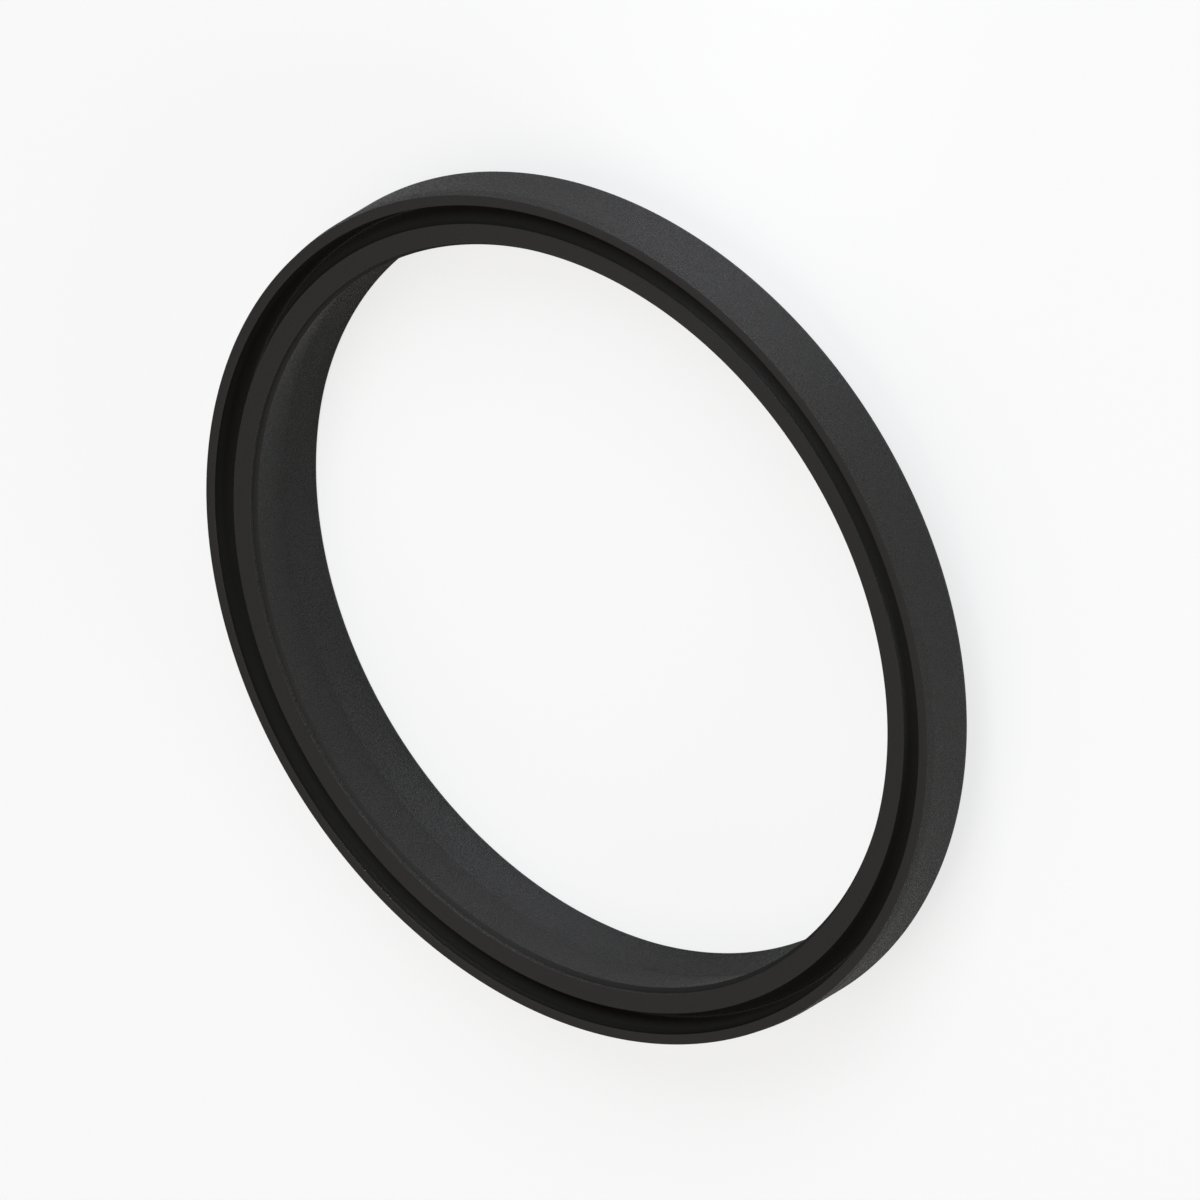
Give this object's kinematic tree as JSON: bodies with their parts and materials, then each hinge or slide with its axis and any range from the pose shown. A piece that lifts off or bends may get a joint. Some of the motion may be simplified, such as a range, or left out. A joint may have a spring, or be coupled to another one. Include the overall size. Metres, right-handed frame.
{
  "type": "wiper seal",
  "caption": "Round rod wiper ring with a flat-faced sealing lip, a longer tapered wiping lip behind it and a V groove inside a thin outer rim.",
  "frame": {"origin": "centre of the circle on which the wiping lip's tip stands, on the ring's axis", "axes": "+Z along the ring's axis, from the wiping lip's tip to the grooved face; X and Y are alike"},
  "size_m": [0.08, 0.08, 0.0095],
  "materials": {
    "black_elastomer": "satin, dark warm grey"
  },
  "bodies": {
    "root": {"wiper_ring": "black_elastomer"}
  },
  "joints": []
}
